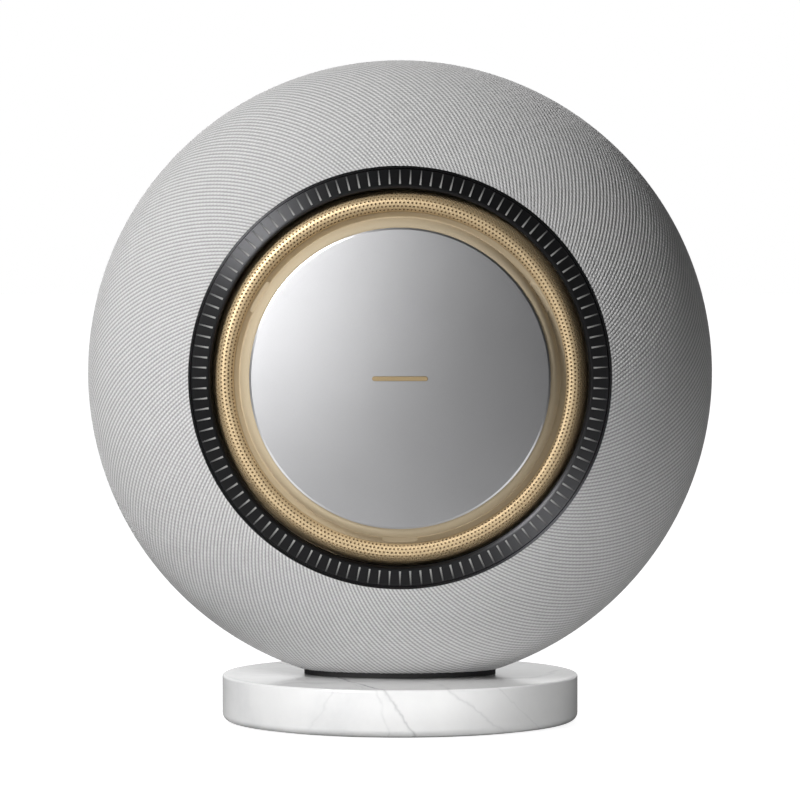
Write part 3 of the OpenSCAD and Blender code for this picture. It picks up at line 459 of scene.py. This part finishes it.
def knit_grid():
    """Points of the ribbed sock: columns follow the ribs, which spiral as they run from the ring to the rear."""
    line, run = cover_line()
    s = np.linspace(0, run[-1], int(run[-1] / COVER_ROW))
    r = np.interp(s, run, line[:, 0])
    z = np.interp(s, run, line[:, 1])
    slope = np.stack([np.gradient(r, s), np.gradient(z, s)], axis=1)
    slope /= np.linalg.norm(slope, axis=1)[:, None]
    normal = np.stack([-slope[:, 1], slope[:, 0]], axis=1)
    u = np.arange(RIBS * RIB_STEPS) / RIB_STEPS
    hem = np.clip(np.minimum(s, run[-1] - s) / HEM_W, 0, 1) ** 0.5
    ridge = (0.5 + 0.5 * np.cos(2 * math.pi * u)) ** RIB_ROUND
    theta = u[None, :] * 2 * math.pi / RIBS + s[:, None] * RIBS_PER_M * 2 * math.pi / RIBS
    lift = RIB_H * (ridge[None, :] - 1) * hem[:, None] - HEM_TUCK * (1 - hem[:, None])
    rr = r[:, None] + normal[:, 0][:, None] * lift
    zz = z[:, None] + normal[:, 1][:, None] * lift
    return np.stack([rr * np.cos(theta), rr * np.sin(theta), zz], axis=-1), s


def build_cover():
    grid, s = knit_grid()
    rows, cols, _ = grid.shape
    points = grid.reshape(-1, 3)
    faces = grid_faces(rows, cols)
    # points under the flat underside are pulled up to it, and the faces wholly under it are left out
    below = points[:, 1] < -CUT_DROP
    points[below, 1] = -CUT_DROP
    faces = faces[~below[faces].all(axis=1)]
    i, j = faces // cols, faces % cols
    uv = np.stack([j / RIB_STEPS, s[i]], axis=-1)
    last = j[:, 0] == cols - 1
    uv[last, 1:3, 0] = RIBS
    piece = make("knit_cover", to_frame(points), faces, sharp=0, uv=uv)
    piece.data.validate()
    return piece


cover = finish_piece(build_cover(), "knit_fabric", replaces=["fabric_cover"])


# ---------------------------------------------------------------- control ring
TICKS = 120
RING_RISE = 1.2 * MM
RING_BACK = FACE_Z - 6.8 * MM
RING_CHAMFER = 0.3 * MM
LIP = 1.6 * MM  # radius of the rolled inner edge
LIP_STEPS = 8
NOTCH_D = 0.5 * MM
NOTCH_BEVEL = 0.12 * MM
NOTCH_SIDE = 0.82  # share of a notch's half width where its floor starts
TICK_HALF_OUT = 0.28 * MM
TICK_HALF_GROWTH = 0.2 * MM  # more half width at the inner end
TICK_SINK = 0.12 * MM
TICK_EDGE = 0.06 * MM
TICK_T = 0.5 * MM


def ring_face_z(r):
    """Height of the ring's sloped face at a radius."""
    return FACE_Z + (RING_OUT - r) * RING_RISE / (RING_W - LIP)


def build_control_ring():
    top = FACE_Z + RING_RISE
    # radius, height and notch depth of each row, from the back, up the outer wall and over the face
    rows = [(RING_OUT - 3 * MM, RING_BACK, 0), (RING_OUT - RING_CHAMFER, RING_BACK, 0),
            (RING_OUT, RING_BACK + RING_CHAMFER, 0), (RING_OUT, FACE_Z - 0.45 * MM, 0),
            (RING_OUT - 0.1 * MM, FACE_Z - 0.15 * MM, 0), (RING_OUT - 0.35 * MM, FACE_Z + 0.08 * MM, 0)]
    for r, deep in ((TICK_OUT + NOTCH_BEVEL, 0), (TICK_OUT, NOTCH_D), ((TICK_OUT + TICK_IN) / 2, NOTCH_D),
                    (TICK_IN, NOTCH_D), (TICK_IN - NOTCH_BEVEL, 0)):
        rows.append((r, ring_face_z(r), deep))
    for k in range(LIP_STEPS + 1):
        t = math.radians(75 + 105 * k / LIP_STEPS)
        rows.append((RING_IN + LIP + LIP * math.cos(t), top - LIP + LIP * math.sin(t) - 0.05 * MM, 0))
    rows += [(RING_IN, RING_BACK + RING_CHAMFER, 0), (RING_IN + RING_CHAMFER, RING_BACK, 0)]
    # angle, offset in half notch widths and whether the column dips into the notch
    step = 2 * math.pi / TICKS
    columns = []
    for k in range(TICKS):
        for off, dips in ((-1, 0), (-NOTCH_SIDE, 1), (0, 1), (NOTCH_SIDE, 1), (1, 0)):
            columns.append((k * step, off, dips))
        for between in (0.3, 0.5, 0.7):
            columns.append((k * step + between * step, 0, 0))
    points = []
    for r, z, deep in rows:
        share = min(max((TICK_OUT - r) / TICK_LENGTH, 0), 1)
        half = TICK_HALF_OUT + TICK_HALF_GROWTH * share + 0.12 * MM
        for base, off, dips in columns:
            a = base + off * half / r
            points.append((r * math.cos(a), r * math.sin(a), z - deep * dips))
    faces = grid_faces(len(rows), len(columns), wrap_rows=True)
    return make("control_ring_turned", to_frame(points), faces, sharp=28)


def build_ticks():
    """Pale inlays, each a little wider at its inner end, sunk just below the ring's face."""
    points, faces = [], []
    layers = ((TICK_EDGE, TICK_SINK), (0, TICK_SINK + TICK_EDGE), (0, TICK_SINK + TICK_T - 0.02 * MM))
    for k in range(TICKS):
        base = k * 2 * math.pi / TICKS
        start = len(points)
        for inset, drop in layers:
            for r, side in ((TICK_OUT - inset, -1), (TICK_OUT - inset, 1), (TICK_IN + inset, 1),
                            (TICK_IN + inset, -1)):
                share = (TICK_OUT - r) / TICK_LENGTH
                half = TICK_HALF_OUT + TICK_HALF_GROWTH * share - inset
                a = base + side * half / r
                points.append((r * math.cos(a), r * math.sin(a), ring_face_z(r) - drop))
        faces.append([start, start + 1, start + 2, start + 3])
        for layer in (0, 4):
            for q in range(4):
                low, w = start + layer, (q + 1) % 4
                faces.append([low + q, low + 4 + q, low + 4 + w, low + w])
        faces.append([start + 11, start + 10, start + 9, start + 8])
    return make("ring_ticks_inlaid", to_frame(points), faces, sharp=30)


finish_piece(face_outwards(build_control_ring()), "ring_black", "volume_ring", ["control_ring"])
finish_piece(face_outwards(build_ticks()), "tick_pale", "volume_ring", ["ring_ticks"])


# ---------------------------------------------------------------- perforated gold ring
HOLE_PITCH = 2.1 * MM
HOLE_R = 0.56 * MM
HOLE_SIDES = 8
ROW_SHARE = 0.866  # of the pitch, between staggered rows
MESH_T = 0.6 * MM
MESH_MARGIN = 0.3 * MM
BEAD_CREST = 0.35
BEAD_PEAK = 1.0 * MM
BEAD_RISE = 1.6 * MM
BEAD_FALL = 12 * MM
BEAD_POINTS = 400
CLOTH_ROWS = 30


def bead_h(share):
    """Height of the gold bead across its width: a low inner edge, a crest, and a long fall outwards."""
    a = np.minimum(share, BEAD_CREST)
    b = np.maximum(share, BEAD_CREST)
    rise = BEAD_RISE * ((BEAD_CREST - a) / BEAD_CREST) ** 2
    fall = BEAD_FALL * ((b - BEAD_CREST) / (1 - BEAD_CREST)) ** 3
    return FACE_Z + BEAD_PEAK - rise - fall


def bead_line():
    share = np.linspace(0, 1, BEAD_POINTS)
    r = MESH_IN + (MESH_OUT - MESH_IN) * share
    z = bead_h(share)
    run = np.concatenate([[0], np.cumsum(np.hypot(np.diff(r), np.diff(z)))])
    return r, z, run


def build_mesh_ring():
    """Each hole's octagon is joined to the six points round it on the rows above and below."""
    r, z, run = bead_line()
    rows = int((run[-1] - 2 * MESH_MARGIN) / (HOLE_PITCH * ROW_SHARE))
    cols = int(2 * math.pi * (MESH_IN + MESH_OUT) / 2 / HOLE_PITCH)
    edges = np.linspace(MESH_MARGIN, run[-1] - MESH_MARGIN, rows + 1)
    step = 2 * math.pi / cols
    around = 2 * cols
    points, faces = [], []

    def at(s, a, deep=0.0):
        """The point a length s along the bead's line, at an angle, and deep under the surface."""
        rr, zz = np.interp(s, run, r), np.interp(s, run, z)
        ds = 0.2 * MM
        tr = np.interp(min(s + ds, run[-1]), run, r) - np.interp(max(s - ds, 0), run, r)
        tz = np.interp(min(s + ds, run[-1]), run, z) - np.interp(max(s - ds, 0), run, z)
        length = math.hypot(tr, tz)
        rr, zz = rr + tz / length * deep, zz - tr / length * deep
        return (rr * math.cos(a), rr * math.sin(a), zz)

    starts = []
    for deep in (0.0, MESH_T):
        line_start = len(points)
        for edge in edges:
            for j in range(around):
                points.append(at(edge, j * step / 2, deep))
        hole_start = len(points)
        for i in range(rows):
            mid = (edges[i] + edges[i + 1]) / 2
            rr = np.interp(mid, run, r)
            shift = 0.5 * (i % 2)
            for j in range(cols):
                centre = (j + 0.5 + shift) * step
                for k in range(HOLE_SIDES):
                    t = math.radians(45 * k - 135)
                    points.append(at(mid + HOLE_R * math.sin(t), centre + HOLE_R * math.cos(t) / rr, deep))
        for i in range(rows):
            for j in range(cols):
                low = line_start + i * around
                high = low + around
                c = [(2 * j + i % 2 + q) % around for q in range(3)]
                l0, l1, l2 = (low + q for q in c)
                h0, h1, h2 = (high + q for q in c)
                o = [hole_start + (i * cols + j) * HOLE_SIDES + k for k in range(HOLE_SIDES)]
                web = [[l0, l1, o[1], o[0]], [l1, l2, o[2], o[1]], [l2, h2, o[4], o[3], o[2]],
                       [h2, h1, o[5], o[4]], [h1, h0, o[6], o[5]], [h0, l0, o[0], o[7], o[6]]]
                faces += [face[::-1] for face in web] if deep else web
        starts.append((line_start, hole_start))
    (top_lines, top_holes), (low_lines, low_holes) = starts
    for h in range(0, rows * cols * HOLE_SIDES, HOLE_SIDES):
        a, b = top_holes + h, low_holes + h
        for k in range(HOLE_SIDES):
            k2 = (k + 1) % HOLE_SIDES
            faces.append([a + k, a + k2, b + k2, b + k])
    # plain margins at both edges, closed round the sheet's thickness
    for edge_row, s_end in ((0, 0.0), (rows, run[-1])):
        start = len(points)
        under = start + around
        for deep in (0.0, MESH_T):
            for j in range(around):
                points.append(at(s_end, j * step / 2, deep))
        t0 = top_lines + edge_row * around
        b0 = low_lines + edge_row * around
        for j in range(around):
            j2 = (j + 1) % around
            faces.append([t0 + j, t0 + j2, start + j2, start + j])
            faces.append([b0 + j, b0 + j2, under + j2, under + j])
            faces.append([start + j, start + j2, under + j2, under + j])
    return make("gold_mesh_ring", to_frame(points), faces, sharp=40)


def build_backing():
    """Acoustic cloth stretched behind the perforated ring."""
    r, z, _ = bead_line()
    pick = np.linspace(6, BEAD_POINTS - 7, CLOTH_ROWS).astype(int)
    front = [(r[k], z[k] - MESH_T - 0.1 * MM) for k in pick]
    back = [(r[k], z[k] - MESH_T - 0.4 * MM) for k in pick[::-1]]
    return lathe("mesh_backing_cloth", front + back, 240, sharp=60)


finish_piece(face_outwards(build_backing()), "gold_cloth")
finish_piece(face_outwards(build_mesh_ring()), "gold_metal", replaces=["mesh_grille"])


# ---------------------------------------------------------------- disc, skirt and spokes
SPOKES = 3
SPOKE_W = 17.6 * MM
SPOKE_STEPS = 16
DISH_INSET = 8 * MM
DISH_T = 5 * MM
SKIRT_ROUND = 4.4 * MM
SKIRT_T = 2.6 * MM
GROOVE_LOW = FACE_Z - 2.4 * MM
GROOVE_STEPS = 8
SKIRT_STEPS = 13
WALL_T = 1.5 * MM
WALL_FOOT = 2.5 * MM
DISC_DOME = 2 * MM
DISC_CHAMFER = 1.0 * MM
DISC_FALL = 0.5 * MM
DISC_STEPS = 24
EMBLEM_EDGE = 0.2 * MM


def build_carrier():
    """Dish, its rounded skirt and the shallow groove that runs out to the mesh ring."""
    top = DISC_BACK - 0.2 * MM
    under = FACE_Z - 7 * MM
    bend = FACE_Z - 1.6 * MM
    edge = MESH_IN - GAP
    outline = [(DISC_R - DISH_INSET, top - DISH_T), (SKIRT_R - SKIRT_T, top - DISH_T), (SKIRT_R - SKIRT_T, under),
               (edge, under), (edge, FACE_Z - 0.9 * MM)]
    for k in range(1, GROOVE_STEPS + 1):
        t = math.radians(90 * k / GROOVE_STEPS)
        outline.append((edge - (edge - SKIRT_R - 0.8 * MM) * math.sin(t),
                        GROOVE_LOW + 1.5 * MM * (1 - math.sin(t))))
    outline.append((SKIRT_R + 0.2 * MM, GROOVE_LOW + 0.15 * MM))
    for k in range(SKIRT_STEPS + 1):
        t = math.radians(90 * k / SKIRT_STEPS)
        outline.append((SKIRT_R - SKIRT_ROUND * (1 - math.cos(t)), bend + (top - bend) * math.sin(t)))
    outline.append((DISC_R - DISH_INSET, top))
    return lathe("disc_skirt", outline, 480, sharp=50)


def build_wall():
    """The carrier's cylinder between the groove and the control ring's housing."""
    inner, outer = MESH_IN - GAP, RING_IN + 0.6 * MM
    top, low = FACE_Z - 1.6 * MM, FACE_Z - 20.8 * MM
    outline = rounded([(inner, low, 0), (inner, top, 0.4 * MM), (inner + WALL_T, top, 0.4 * MM),
                       (inner + WALL_T, low + WALL_FOOT, 0), (outer, low + WALL_FOOT, 0), (outer, low, 0)])
    return lathe("carrier_wall", outline, 360, sharp=40)


def build_spokes():
    """Three bridges across the groove, each with its top edge eased down at both ends."""
    points, faces = [], []
    inner, outer = SKIRT_R - 1.2 * MM, MESH_IN - 0.12 * MM
    top, low = FACE_Z - 1.3 * MM, FACE_Z - 15 * MM
    cross = [(inner, low), (inner, top), (outer, top), (outer, low)]
    for k in range(SPOKES):
        mid = math.radians(30 + 120 * k)
        start = len(points)
        for s in range(SPOKE_STEPS + 1):
            u = 2 * s / SPOKE_STEPS - 1
            a = mid + u * SPOKE_W / 2 / SKIRT_R
            ease = 0.5 * MM * max(0, abs(u) - 0.85) / 0.15
            for r, z in cross:
                points.append((r * math.cos(a), r * math.sin(a), z - (ease if z == top else 0)))
        for s in range(SPOKE_STEPS):
            here = start + 4 * s
            for q in range(4):
                w = (q + 1) % 4
                faces.append([here + q, here + w, here + 4 + w, here + 4 + q])
        faces.append([start + q for q in range(4)])
        faces.append([start + 4 * SPOKE_STEPS + q for q in range(4)])
    return make("carrier_spokes", to_frame(points), faces, sharp=40)


def build_disc():
    """A slightly domed plate with a bright chamfer round its face."""
    top = DISC_FRONT - DISC_DOME
    edge = DISC_R - DISC_CHAMFER
    outline = [(0, DISC_BACK), (DISC_R - 0.3 * MM, DISC_BACK), (DISC_R, DISC_BACK + 0.3 * MM),
               (DISC_R, top - DISC_FALL - 0.15 * MM), (DISC_R - 0.1 * MM, top - DISC_FALL),
               (edge - 0.02 * MM, top - 0.02 * MM)]
    for k in range(1, DISC_STEPS):
        r = edge * (1 - k / DISC_STEPS) - 0.1 * MM
        outline.append((max(r, 0.5 * MM), top + DISC_DOME * (1 - (r / edge) ** 2)))
    outline.append((0, DISC_FRONT))
    return solid_lathe("front_disc_plate", outline, 480, sharp=20)


def build_emblem():
    """A plain bar with round ends and an eased front edge."""
    low, high = box_of("emblem_bar")
    half_w, half_h = (high[0] - low[0]) / 2, (high[2] - low[2]) / 2
    back, front = high[1], low[1]
    outline = []
    for side in (1, -1):
        for k in range(13):
            t = math.radians(-90 + 180 * k / 12)
            outline.append((side * (half_w - half_h + half_h * math.cos(t)), side * half_h * math.sin(t)))
    points, n = [], len(outline)
    for inset, y in ((0, back), (0, front + EMBLEM_EDGE), (EMBLEM_EDGE, front)):
        k = 1 - inset / half_h
        for x, z in outline:
            points.append((x - math.copysign(inset, x), y, AXIS_Z + z * k))
    faces = grid_faces(3, n).tolist()
    faces.append(list(range(n))[::-1])
    faces.append([2 * n + i for i in range(n)])
    return make("emblem_plain_bar", points, faces, sharp=30)


finish_piece(face_outwards(build_carrier()), "gold_satin", replaces=["disc_carrier"])
finish_piece(face_outwards(build_wall()), "gold_satin")
finish_piece(face_outwards(build_spokes()), "gold_satin")
finish_piece(face_outwards(build_disc()), "satin_disc", replaces=["front_disc"])
finish_piece(face_outwards(build_emblem()), "bronze_emblem", replaces=["emblem_bar"])


# ---------------------------------------------------------------- marble base
FOOT_ROUND = 4 * MM
TOP_ROUND = 1.2 * MM


def build_base():
    top, low = base_high[2], base_low[2]
    outline = rounded([(0, low, 0), (BASE_R, low, FOOT_ROUND), (BASE_R, top, TOP_ROUND), (0, top, 0)], steps=10)
    return solid_lathe("marble_puck", outline, 360, upright=True, sharp=0)


finish_piece(face_outwards(build_base()), "marble", replaces=["marble_base"])

dress_cad_nodes()


# ---------------------------------------------------------------- camera, floor and lights
LENS_MM = 221.7
CAMERA_AT = (0, -2.589, 0.272)
LOOKS_AT = (0, 0, 0.169)
FLOOR_REACH = 12.0
WORLD_FRONT = 0.035  # strength of the surroundings in front of the speaker
WORLD_BACK = 0.9


def aim(obj, target):
    obj.rotation_euler = (Vector(target) - obj.location).to_track_quat("-Z", "Y").to_euler()


def add_camera():
    cam = bpy.data.cameras.new("camera")
    cam.lens = LENS_MM
    cam.sensor_width = 36
    cam.clip_end = 50
    obj = bpy.data.objects.new("camera", cam)
    bpy.context.scene.collection.objects.link(obj)
    obj.location = CAMERA_AT
    aim(obj, LOOKS_AT)
    bpy.context.scene.camera = obj


def add_light(name, place, target, size, power, diffuse=True, glossy=True, spread=180):
    """An area light that the camera doesn't see."""
    light = bpy.data.lights.new(name, "AREA")
    light.shape = "RECTANGLE"
    light.size, light.size_y = size
    light.energy = power
    light.spread = math.radians(spread)
    obj = bpy.data.objects.new(name, light)
    bpy.context.scene.collection.objects.link(obj)
    obj.location = place
    obj.visible_camera = False
    obj.visible_diffuse = diffuse
    obj.visible_glossy = glossy
    aim(obj, target)


def camera_only(tree):
    """One for the camera's own view, and nothing for light that falls on the scene."""
    return tree.nodes.new("ShaderNodeLightPath").outputs["Is Camera Ray"]


def add_floor():
    """A plain white sweep: it looks white to the camera, and throws back less light than that."""
    corners = [(-FLOOR_REACH, -FLOOR_REACH, 0), (FLOOR_REACH, -FLOOR_REACH, 0), (FLOOR_REACH, FLOOR_REACH, 0),
               (-FLOOR_REACH, FLOOR_REACH, 0)]
    floor = make("floor", corners, [[0, 1, 2, 3]], sharp=0)
    n = Nodes("floor_white", (0.9, 0.9, 0.9), 0.7)
    away = n.add("ShaderNodeVectorMath", {"operation": "LENGTH"}, i0=n.place()).outputs["Value"]
    far = n.math("MULTIPLY_ADD", away, 3.0, -0.35, clamp=True)
    n.set("Emission Color", WHITE)
    n.link("Emission Strength", n.math("MULTIPLY", n.math("MULTIPLY_ADD", far, 0.1, 0.9), camera_only(n.tree)))
    n.link("Base Color", n.ramp(n.grain(40, 2), [(0.3, (0.40, 0.40, 0.40)), (0.7, (0.42, 0.42, 0.42))]))
    floor.data.materials.append(n.mat)


def add_world():
    """Bright behind the speaker, dim in front of it, and white to the camera."""
    world = bpy.data.worlds.new("world")
    world.use_nodes = True
    tree = world.node_tree
    back = tree.nodes["Background"]
    back.inputs["Color"].default_value = WHITE
    place = tree.nodes.new("ShaderNodeTexCoord")
    split = tree.nodes.new("ShaderNodeSeparateXYZ")
    sweep = tree.nodes.new("ShaderNodeMapRange")
    sweep.interpolation_type = "SMOOTHSTEP"
    for key, value in (("From Min", 0.3), ("From Max", 0.95), ("To Min", WORLD_FRONT), ("To Max", WORLD_BACK)):
        sweep.inputs[key].default_value = value
    total = tree.nodes.new("ShaderNodeMath")
    total.operation = "MAXIMUM"
    tree.links.new(place.outputs["Generated"], split.inputs[0])
    tree.links.new(split.outputs[1], sweep.inputs["Value"])
    tree.links.new(sweep.outputs[0], total.inputs[1])
    tree.links.new(camera_only(tree), total.inputs[0])
    tree.links.new(total.outputs[0], back.inputs["Strength"])
    bpy.context.scene.world = world


add_camera()
add_floor()
add_world()
add_light("key", (-0.85, -0.95, 1.05), (0, -0.05, 0.18), (0.5, 0.5), 21)
add_light("ring_glint", (-0.83, -1.10, 0.90), (0, -0.09, 0.18), (0.5, 0.5), 20, diffuse=False)
add_light("card", (-0.62, -1.92, 0.50), (0, -0.09, 0.18), (1.0, 0.9), 8.6, diffuse=False)
add_light("bounce", (-0.06, -0.22, 0.004), (-0.06, -0.19, 0.35), (0.9, 0.16), 0.66)
add_light("base_fill", (0.22, -0.48, 0.03), (0.04, -0.05, 0.02), (0.2, 0.04), 0.04, glossy=False, spread=45)
bpy.context.scene.view_settings.view_transform = "Standard"
